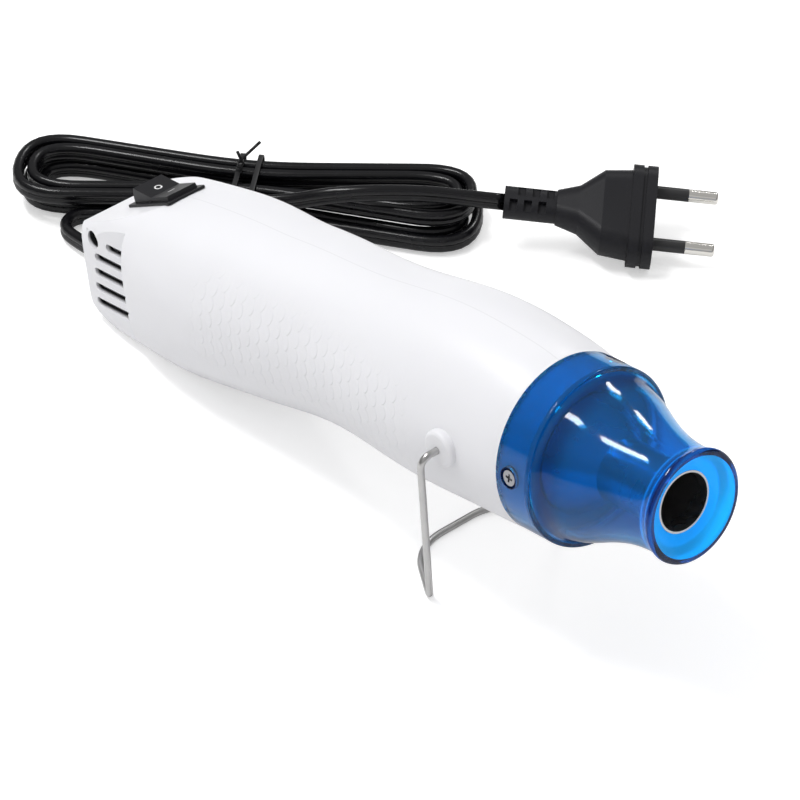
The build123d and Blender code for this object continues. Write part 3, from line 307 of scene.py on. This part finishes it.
# Guard: clear blue, with painted shade deepening its neck and low side, a painted glow on
# its funnel face, a painted dark lip and painted shade in the recesses round its screws
guard = {
    "clear": (0.004, 0.40, 0.92, 1),
    # Deeper blue for the painted shade at the neck and the low side
    "shadeBlue": (0.0015, 0.16, 0.50, 1),
    # Painted light: a brighter blue and a blue glow for the funnel face
    "paintedLightBlue": (0.005, 0.50, 1.0, 1),
    # Near-black blue for the painted shade of the dark lip and of the screw recesses
    "dark": (0.002, 0.03, 0.13, 1),
    "paintedGlow": (0.0, 0.40, 1.0, 1),
    "paintedGlowStrength": 0.5,
    "transmission": 0.92,
    "index": 1.42,
    "gloss": 0.18,
    "neckShadeAlong": (12.6, 14.0, 15.0, 21.0),
    "neckShadeShare": 0.8,
    "lowShadeRise": (-2.0, -22.0),
    "funnelLightAlong": (44.0, 46.3),
    "lipShadeAlong": (47.6, 48.8),
    "lipReach": (14.7, 15.0),
    "screwPlace": 5.0,
    "screwTurns": (173, 293, 53),
    "recess": (3.3, 3.1),
    "recessReach": (14.0, 16.0),
}
blueGuard, tree, shader = startMaterial("blueGuard")
placed = groupNode(tree, toolPlace, {})
# Painted shade: the neck and the low side are mixed towards the deeper blue
neckShade = product(tree, between(tree, placed["Along"], guard["neckShadeAlong"]), guard["neckShadeShare"])
shadeShare = mathNode(tree, "MAXIMUM", band(tree, placed["Rise"], *guard["lowShadeRise"]), neckShade)
shaded = mixColor(tree, shadeShare, guard["clear"], guard["shadeBlue"])
toned = groupNode(tree, tone, {"Color": shaded, "Spread": 0.15, "Scale": 30.0})
lipInside, lipOutside = guard["lipReach"]
# Painted light: the funnel face is brightened and made to glow, as if lit through from behind
funnelLight = product(
    tree, band(tree, placed["Along"], *guard["funnelLightAlong"]),
    band(tree, placed["Reach"], lipOutside, lipInside),
)
# Painted shade: a dark lip round the funnel face's rim, then dark recesses round the screws below
darkShare = product(
    tree, band(tree, placed["Along"], *guard["lipShadeAlong"]),
    band(tree, placed["Reach"], lipInside, lipOutside),
)
fromScrew = mathNode(tree, "SUBTRACT", placed["Along"], guard["screwPlace"])
for turn in guard["screwTurns"]:
    sideShare, riseShare = math.cos(math.radians(turn)), math.sin(math.radians(turn))
    across = mathNode(
        tree, "MULTIPLY_ADD", placed["Side"], -riseShare, product(tree, placed["Rise"], sideShare)
    )
    outwards = mathNode(
        tree, "MULTIPLY_ADD", placed["Side"], sideShare, product(tree, placed["Rise"], riseShare)
    )
    # Painted shade in the recess round each screw
    recessShade = product(
        tree, band(tree, diagonal(tree, across, fromScrew), *guard["recess"]),
        band(tree, outwards, *guard["recessReach"]),
    )
    darkShare = mathNode(tree, "MAXIMUM", darkShare, recessShade)
litFunnelColor = mixColor(tree, funnelLight, toned["Color"], guard["paintedLightBlue"])
feed(tree, mixColor(tree, darkShare, litFunnelColor, guard["dark"]), shader["Base Color"])
feed(tree, mixColor(tree, funnelLight, (0, 0, 0, 1), guard["paintedGlow"]), shader["Emission Color"])
feed(tree, mathNode(tree, "MULTIPLY_ADD", funnelLight, 0.4, 0.08), shader["Roughness"])
grained = groupNode(tree, grain, {"Scale": 60.0, "Height": 0.00003})
feed(tree, grained["Normal"], shader["Normal"])
shader["Emission Strength"].default_value = guard["paintedGlowStrength"]
shader["Transmission Weight"].default_value = guard["transmission"]
shader["IOR"].default_value = guard["index"]
shader["Specular IOR Level"].default_value = guard["gloss"]

# Every other finish by its slot: name, colour, roughness and what differs from a plain one
finishes = {
    "can_steel": ("canSteel", (0.55, 0.55, 0.56), 0.28, {
        "metallic": 1.0, "grainScale": 700.0, "grainHeight": 0.00001,
    }),
    "screw_steel": ("screwSteel", (0.36, 0.36, 0.38), 0.26, {"metallic": 1.0}),
    "stand_wire": ("standWire", (0.56, 0.555, 0.55), 0.3, {
        "metallic": 1.0, "spread": 0.25, "toneScale": 120.0,
    }),
    "insulator": ("insulator", (0.72, 0.70, 0.62), 0.7, {}),
    "mica": ("mica", (0.55, 0.47, 0.32), 0.45, {"spread": 0.4, "toneScale": 180.0}),
    "heater_wire": ("heaterWire", (0.30, 0.28, 0.26), 0.5, {"metallic": 1.0, "spread": 0.4}),
    "brass": ("brass", (0.78, 0.57, 0.25), 0.3, {"metallic": 1.0}),
    "copper": ("copper", (0.72, 0.33, 0.16), 0.35, {"metallic": 1.0, "spread": 0.3}),
    "black_nylon": ("blackNylon", (0.02, 0.02, 0.022), 0.5, {}),
    "white_nylon": ("whiteNylon", (0.78, 0.78, 0.74), 0.5, {}),
    "ferrite": ("ferrite", (0.07, 0.07, 0.075), 0.65, {}),
    "board": ("board", (0.30, 0.19, 0.08), 0.55, {"spread": 0.3}),
    "film_red": ("filmRed", (0.42, 0.06, 0.03), 0.25, {}),
    "switch_black": ("switchBlack", (0.009, 0.009, 0.011), 0.4, {
        "grainScale": 2200.0, "grainHeight": 0.00003, "Specular_IOR_Level": 0.35,
    }),
    "black_pvc": ("blackPvc", (0.012, 0.012, 0.013), 0.38, {"grainScale": 1800.0}),
    "cord_pvc": ("cordPvc", (0.003, 0.003, 0.004), 0.26, {
        "spread": 0.5, "grainScale": 500.0, "grainHeight": 0.00006,
        "Specular_IOR_Level": 0.27, "Coat_Weight": 0.15, "Coat_Roughness": 0.12,
    }),
    "tie": ("tieBlack", (0.012, 0.012, 0.013), 0.45, {}),
    "plug_grey": ("plugGrey", (0.008, 0.008, 0.0105), 0.42, {
        "grainScale": 2600.0, "grainHeight": 0.00004, "Specular_IOR_Level": 0.28,
    }),
    "pin_nickel": ("pinNickel", (0.80, 0.78, 0.74), 0.16, {"metallic": 1.0}),
    "sleeve_black": ("sleeveBlack", (0.014, 0.014, 0.015), 0.4, {}),
    "lead_wire": ("leadWire", (0.28, 0.02, 0.015), 0.4, {}),
}
slotMaterials = {"white_shell": whiteShell, "blue_guard": blueGuard}
for slot, (name, color, roughness, more) in finishes.items():
    slotMaterials[slot] = plainMaterial(name, color, roughness, **more)

# Rocker: the switch's black with a white ring at its rear end and a white bar at its front
rocker = {
    "color": (0.009, 0.009, 0.011, 1),
    "white": (0.85, 0.85, 0.85, 1),
    "roughness": 0.4,
    "gloss": 0.35,
    "deckAlong": -174.0,
    "deckRise": 13.7,
    "deckSlope": 22.0,
    "swing": 11.0,
    "gap": 0.2,
    "height": 2.0,
    "markOffset": 3.3,
    "ringOuter": (1.26, 1.2),
    "ringInner": (0.74, 0.8),
    "barWidth": (0.26, 0.2),
    "barLength": (1.26, 1.2),
}
rockerBlack, tree, shader = startMaterial("rockerBlack")
toned = groupNode(tree, tone, {"Color": rocker["color"], "Spread": 0.2, "Scale": 90.0})
grained = groupNode(tree, grain, {"Scale": 2200.0, "Height": 0.00003})
feed(tree, grained["Normal"], shader["Normal"])
shader["Roughness"].default_value = rocker["roughness"]
shader["Specular IOR Level"].default_value = rocker["gloss"]
deckLean = lean + math.radians(rocker["deckSlope"])
swing = math.radians(rocker["swing"])
deckX = Vector((math.cos(deckLean), 0, math.sin(deckLean)))
deckZ = Vector((-math.sin(deckLean), 0, math.cos(deckLean)))
rockerX = deckX * math.cos(swing) - deckZ * math.sin(swing)
rockerZ = deckZ * math.cos(swing) + deckX * math.sin(swing)
rockerFoot = inTool(rocker["deckAlong"], 0, rocker["deckRise"]) + deckZ * rocker["gap"]
markRise = rocker["height"] + rocker["markOffset"] * math.tan(swing)
marks = []
for end in (-1, 1):
    centre = rockerFoot + rockerX * end * rocker["markOffset"] + rockerZ * markRise
    lengthways = rockerX * math.cos(swing) + rockerZ * end * math.sin(swing)
    fromMark = placeFrom(tree, centre)
    ahead, aside = (
        mathNode(tree, "ABSOLUTE", along(tree, fromMark, axis)) for axis in (lengthways, sideways)
    )
    if end < 0:
        radius = diagonal(tree, ahead, aside)
        outer, inner = (band(tree, radius, *rocker[name]) for name in ("ringOuter", "ringInner"))
        marks.append(product(tree, outer, inner))
    else:
        marks.append(product(
            tree, band(tree, ahead, *rocker["barWidth"]), band(tree, aside, *rocker["barLength"])
        ))
marked = mixColor(tree, mathNode(tree, "ADD", *marks), toned["Color"], rocker["white"])
feed(tree, marked, shader["Base Color"])

for subpart in frame["record"]["subparts"]:
    node, slot = subpart["node"], subpart["material_slot"]
    mesh = nodes[node].data
    mesh.materials.clear()
    mesh.materials.append(rockerBlack if node == "switch_rocker" else slotMaterials[slot])
print("stage: materials set")


# Smooth lines and the meshes that follow them
def nurbsLine(name, points, resolution):
    curve = bpy.data.curves.new(name, "CURVE")
    curve.dimensions = "3D"
    curve.resolution_u = resolution
    spline = curve.splines.new("NURBS")
    spline.points.add(len(points) - 1)
    for place, point in zip(spline.points, points):
        place.co = (*point, 1)
    spline.order_u = 3
    spline.use_endpoint_u = True
    made = bpy.data.objects.new(name, curve)
    bpy.context.scene.collection.objects.link(made)
    return made


def linePoints(controls, resolution):
    line = nurbsLine("route", controls, resolution)
    curve = line.data
    bpy.context.view_layer.update()
    mesh = bpy.data.meshes.new_from_object(line)
    points = [vertex.co.copy() for vertex in mesh.vertices]
    bpy.data.objects.remove(line)
    bpy.data.curves.remove(curve)
    bpy.data.meshes.remove(mesh)
    return points


def sweptPiece(name, points, section, material):
    # The section is (wide, thick) pairs, with wide upright
    vertices, faces = [], []
    for number, point in enumerate(points):
        before, after = points[max(number - 1, 0)], points[min(number + 1, len(points) - 1)]
        ahead = (after - before).normalized()
        up = (upright - ahead * upright.dot(ahead)).normalized()
        across = ahead.cross(up)
        vertices += [(point + up * wide + across * thick) * mm for wide, thick in section]
    count = len(section)
    for ring in range(len(points) - 1):
        for step in range(count):
            a, b = ring * count + step, ring * count + (step + 1) % count
            faces.append((a, b, b + count, a + count))
    faces.append(tuple(range(count))[::-1])
    faces.append(tuple(range(len(vertices) - count, len(vertices))))
    mesh = bpy.data.meshes.new(name)
    mesh.from_pydata(vertices, [], faces)
    mesh.materials.append(material)
    for face in mesh.polygons:
        face.use_smooth = True
    mesh.update()
    made = bpy.data.objects.new(name, mesh)
    bpy.context.scene.collection.objects.link(made)
    return made


# Cord: the same route as the solids, from the strain relief through the hank to the plug
cordShape = {
    "wide": 5.6,
    "thick": 3.4,
    "length": 1.36,
    "sides": 12,
    "smoothness": 8,
    "mouth": (-215.0, 0, -20.5),
    "firstRun": 8.0,
    "turn": (-54.2, -22.9),
    "lastRun": 8.0,
    "plugLead": 12.0,
    "exitStraight": 14.0,
}
hank = {
    "forward": 7.7,
    "side": 53.0,
    "turned": 41.0,
    "runs": 9,
    "halfLength": 72.5,
    "lobeHalf": 18.0,
    "waistHalf": 9.3,
    "waistStep": 4.15,
    "gap": 0.95,
    "floorGap": 0.9,
    "waistReach": 9.0,
    "straightReach": 34.0,
    "start": (-43.71, -14.47),
    "climb": ((10.15, -10.5, 0), (31.47, -13.02, 8.4)),
}
plug = {"mouth": (80.2, -6.7, 15.6), "turned": 45.1, "pitch": 4.8}
cordWide, cordThick = cordShape["wide"], cordShape["thick"]
reliefMouth = inTool(*cordShape["mouth"])
hankTurn = math.radians(hank["turned"])
hankOrigin = Vector((reliefMouth.x + hank["forward"], hank["side"], 0))
hankU = Vector((math.cos(hankTurn), math.sin(hankTurn), 0))
hankV = Vector((-math.sin(hankTurn), math.cos(hankTurn), 0))


def inHank(u, v, z):
    return hankOrigin + hankU * u + hankV * v + upright * z


sideStep = cordThick + hank["gap"]
lowLevel = hank["floorGap"] + cordWide / 2
highLevel = lowLevel + cordWide + hank["gap"]
lastRun = hank["runs"] - 1
route = []
for run in range(hank["runs"]):
    way = 1 if run % 2 == 0 else -1
    depths = [min(number, lastRun - number) / 2 for number in (run - 1, run, run + 1)]
    levels = [lowLevel if number <= lastRun // 2 else highLevel for number in (run, run + 1)]
    lobe = -way * (hank["lobeHalf"] - depths[1] * sideStep)
    waist = -way * (hank["waistHalf"] - depths[1] * hank["waistStep"])
    startReach = hank["halfLength"] - (depths[0] + depths[1]) / 2 * sideStep
    endReach = hank["halfLength"] - (depths[1] + depths[2]) / 2 * sideStep
    for u in (
        -startReach, hank["straightReach"] - startReach, -hank["waistReach"],
        hank["waistReach"], endReach - hank["straightReach"], endReach,
    ):
        share = abs(u) / (startReach if u < 0 else endReach)
        climbed = (u + startReach) / (startReach + endReach)
        outward = max(share - hank["waistReach"] / hank["halfLength"], 0)
        level = levels[0] + (levels[1] - levels[0]) * climbed
        route.append(Vector((way * u, waist + (lobe - waist) * outward, level)))
plugTurn, plugPitch = math.radians(plug["turned"]), math.radians(plug["pitch"])
plugAxis = Vector((
    math.cos(plugTurn) * math.cos(plugPitch), math.sin(plugTurn) * math.cos(plugPitch),
    -math.sin(plugPitch),
))
plugMouth = inHank(*plug["mouth"])
leadEnd = inHank(*hank["start"], lowLevel)
firstWay = (inHank(*route[2]) - leadEnd).normalized()
cordRoute = [
    reliefMouth,
    reliefMouth - toolX * cordShape["firstRun"],
    inHank(*cordShape["turn"], lowLevel),
    leadEnd - firstWay * cordShape["lastRun"],
    leadEnd,
]
cordRoute += [inHank(*point) for point in route[2:-3]]
cordRoute += [inHank(u, v, highLevel + above) for u, v, above in hank["climb"]]
for before in (cordShape["plugLead"] + cordShape["exitStraight"], cordShape["plugLead"], 0):
    cordRoute.append(plugMouth - plugAxis * before)
cordPath = linePoints(cordRoute, cordShape["smoothness"])
coreRadius = cordThick / 2
coreCentre = (cordWide - cordThick) / 2
waistAngle = math.acos(-coreCentre / coreRadius)
cordSection = []
for half in (1, -1):
    for step in range(cordShape["sides"] + 1):
        angle = waistAngle * (1 - 2 * step / cordShape["sides"]) * half
        cordSection.append((
            half * (coreCentre + coreRadius * math.cos(angle)), coreRadius * math.sin(angle)
        ))
cord = sweptPiece("cord", cordPath, cordSection, slotMaterials["cord_pvc"])
cordLength = sum((b - a).length for a, b in zip(cordPath, cordPath[1:])) * mm
print("stage: cord length", round(cordLength, 3), "points", len(cordPath))
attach(cord, "tool")
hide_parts("cord_lead", "cord_hank", "cord_plug_lead")

# Twist tie: two ribbon wraps, a knot and two loose ends, a long one and a short one
tie = {
    "wrapAt": (-3.1, 2.6),
    "ribbon": 1.6,
    "wall": 0.5,
    "corner": 2.6,
    "edge": 0.2,
    "room": 0.8,
    "roomAbove": 0.45,
    "wire": 0.5,
    "twist": 0.62,
    "knotAt": 1.0,
    "knotTurns": 2,
    "knotHeight": 3.6,
    "ends": ((6.6, 7.4), (-1.6, 4.2)),  # to the right in the picture, and up
}
tieTop = highLevel + cordWide / 2 + tie["roomAbove"]
tieLow = tie["roomAbove"]
tieHalf = hank["waistHalf"] + cordThick / 2 + tie["room"]


def selectOnly(made):
    bpy.ops.object.select_all(action="DESELECT")
    made.select_set(True)
    bpy.context.view_layer.objects.active = made


def pickParts(parts, wanted):
    # Selects in edit mode the faces or edges that pass the test
    bpy.ops.mesh.select_all(action="DESELECT")
    bpy.ops.object.mode_set(mode="OBJECT")
    for part in parts:
        part.select = wanted(part)
    bpy.ops.object.mode_set(mode="EDIT")


def ribbonWrap(u):
    bpy.ops.object.select_all(action="DESELECT")
    bpy.ops.mesh.primitive_cube_add(
        size=1, location=inHank(u, 0, (tieTop + tieLow) / 2) * mm, rotation=(0, 0, hankTurn)
    )
    made = bpy.context.object
    made.scale = Vector((tie["ribbon"], 2 * tieHalf, tieTop - tieLow)) * mm
    bpy.ops.object.transform_apply(location=True, rotation=True, scale=True)
    mesh = made.data

    def lengthways(edge):
        a, b = (mesh.vertices[number].co for number in edge.vertices)
        return abs((b - a).normalized().dot(hankU)) > 0.9

    bpy.ops.object.mode_set(mode="EDIT")
    bpy.ops.mesh.select_mode(type="FACE")
    pickParts(mesh.polygons, lambda face: abs(face.normal.dot(hankU)) > 0.9)
    bpy.ops.mesh.delete(type="ONLY_FACE")
    bpy.ops.mesh.select_mode(type="EDGE")
    pickParts(mesh.edges, lengthways)
    bpy.ops.mesh.bevel(offset=tie["corner"] * mm, segments=6, affect="EDGES")
    bpy.ops.object.mode_set(mode="OBJECT")
    wall = made.modifiers.new("wall", "SOLIDIFY")
    wall.thickness, wall.offset = tie["wall"] * mm, 0
    bpy.ops.object.modifier_apply(modifier=wall.name)
    edge = made.modifiers.new("edge", "BEVEL")
    edge.width, edge.segments, edge.limit_method = tie["edge"] * mm, 2, "ANGLE"
    bpy.ops.object.modifier_apply(modifier=edge.name)
    return made


def tieWire(name, points):
    made = nurbsLine(name, [point * mm for point in points], 5)
    curve = made.data
    curve.bevel_depth, curve.bevel_resolution, curve.use_fill_caps = tie["wire"] * mm, 2, True
    selectOnly(made)
    bpy.ops.object.convert(target="MESH")
    bpy.ops.object.mode_set(mode="EDIT")
    bpy.ops.mesh.select_all(action="SELECT")
    bpy.ops.mesh.remove_doubles(threshold=0.000005)
    bpy.ops.mesh.normals_make_consistent(inside=False)
    bpy.ops.object.mode_set(mode="OBJECT")
    return made


knotFoot = inHank(tie["wrapAt"][0], tie["knotAt"], tieTop - 0.2)
knotAxis = (upright + imageRight * 0.25).normalized()
knotAcross = knotAxis.cross(hankV).normalized()
knotBeside = knotAxis.cross(knotAcross)
knotPoints = tie["knotTurns"] * 6
tieParts = [ribbonWrap(u) for u in tie["wrapAt"]]
for start, (right, high) in zip((0, math.pi), tie["ends"]):
    strand = []
    for number in range(knotPoints + 1):
        angle = start + 2 * math.pi * number / 6
        ring = knotAcross * math.cos(angle) + knotBeside * math.sin(angle)
        risen = knotAxis * tie["knotHeight"] * number / knotPoints
        strand.append(knotFoot + risen + ring * tie["twist"])
    way = imageRight * right + upright * high
    strand += [strand[-1] + way * share for share in (0.15, 0.6, 1.0)]
    tieParts.append(tieWire("tieEnd", strand))
selectOnly(tieParts[0])
for part in tieParts:
    part.select_set(True)
bpy.ops.object.join()
twistTie = bpy.context.object
twistTie.name = "twistTie"
twistTie.data.materials.clear()
twistTie.data.materials.append(slotMaterials["tie"])
bpy.ops.object.shade_smooth_by_angle(angle=math.radians(40))
print("stage: twist tie", len(twistTie.data.polygons), "faces")
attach(twistTie, "tool")
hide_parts("twist_tie")

# Floor: pale, with a little light of its own that only the camera sees
studio = {"floor": (0.80, 0.80, 0.80, 1), "floorGlow": 0.42, "floorSize": 6.0, "skyStrength": 0.72}
floorWhite, tree, shader = startMaterial("floorWhite")
shader["Base Color"].default_value = studio["floor"]
shader["Roughness"].default_value = 0.7
shader["Emission Color"].default_value = (1, 1, 1, 1)
viewed = addNode(tree, "ShaderNodeLightPath").outputs["Is Camera Ray"]
feed(tree, product(tree, viewed, studio["floorGlow"]), shader["Emission Strength"])
bpy.ops.object.select_all(action="DESELECT")
bpy.ops.mesh.primitive_plane_add(size=studio["floorSize"])
floor = bpy.context.object
floor.name = "floor"
floor.data.materials.append(floorWhite)

# Lamps: where each stands, the way its long side runs, its size and its power
lamps = {
    "top": ((-0.45, -0.30, 1.28), (-0.75, 0.34, -0.23), (0.80, 0.16), 10.7),
    "back": ((-0.45, 1.05, 0.98), (-0.3, 0.1, 0.2), (0.26, 0.14), 2.5),
    "fill": ((0.9, -0.9, 0.7), (1, 1, 0), (1.2, 1.2), 1.0),
}
for name, (stand, lengthways, size, power) in lamps.items():
    lampData = bpy.data.lights.new(name, "AREA")
    lampData.energy = power
    lampData.shape = "RECTANGLE"
    lampData.size, lampData.size_y = size
    lamp = bpy.data.objects.new(name, lampData)
    facing = (Vector(stand) - Vector((0, 0, 0.03))).normalized()
    aside = Vector(lengthways)
    aside = (aside - facing * aside.dot(facing)).normalized()
    turn = Matrix((aside, facing.cross(aside), facing)).transposed()
    lamp.matrix_world = Matrix.Translation(Vector(stand)) @ turn.to_4x4()
    bpy.context.scene.collection.objects.link(lamp)

# Sky: white, and darker low down where a glossy surface reflects it
sky = bpy.data.worlds.new("studio")
sky.use_nodes = True
tree = sky.node_tree
heading = addNode(tree, "ShaderNodeSeparateXYZ", {
    "Vector": addNode(tree, "ShaderNodeTexCoord").outputs["Generated"],
})
reflected = addNode(tree, "ShaderNodeMapRange", {
    "Value": heading.outputs["Z"], "From Min": -0.1, "From Max": 0.9,
    "To Min": 0.10, "To Max": 0.45,
})
strength = addNode(tree, "ShaderNodeMix", {
    "Factor": addNode(tree, "ShaderNodeLightPath").outputs["Is Glossy Ray"],
    "A": studio["skyStrength"], "B": reflected.outputs["Result"],
}, data_type="FLOAT")
background = tree.nodes["Background"].inputs
background["Color"].default_value = (1, 1, 1, 1)
feed(tree, strength.outputs["Result"], background["Strength"])
bpy.context.scene.world = sky
bpy.context.scene.view_settings.view_transform = "Standard"
print("stage: floor and light set")
